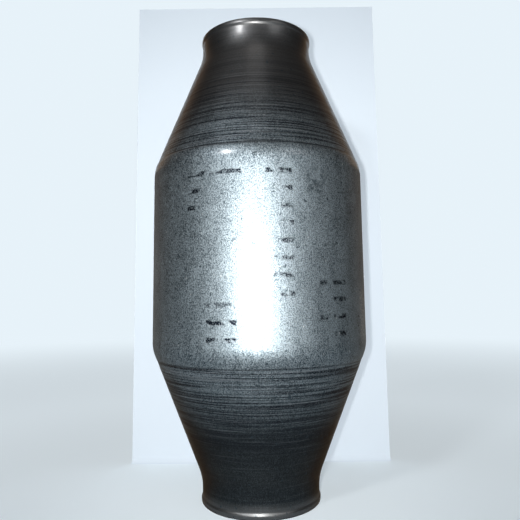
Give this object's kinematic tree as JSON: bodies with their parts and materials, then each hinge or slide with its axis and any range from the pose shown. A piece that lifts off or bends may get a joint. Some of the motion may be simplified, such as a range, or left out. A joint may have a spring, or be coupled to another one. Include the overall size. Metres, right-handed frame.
{
  "type": "catalytic converter",
  "caption": "Round exhaust catalytic converter: a bare steel can spun down to a cone and a short belled neck at each end, with a ceramic honeycomb inside.",
  "frame": {"origin": "centre of the lower rim, in the plane the converter stands on", "axes": "+Z along the can's axis, from the lower neck to the upper neck; +X and +Y along the rows of the honeycomb"},
  "size_m": [0.127, 0.127, 0.279],
  "materials": {
    "shell": "satin",
    "brick": "matte",
    "mat": "matte",
    "wire_seal": "matte"
  },
  "bodies": {
    "root": {"shell": "shell", "honeycomb_brick": "brick", "support_mat": "mat", "upper_wire_seal": "wire_seal", "lower_wire_seal": "wire_seal"}
  },
  "joints": []
}
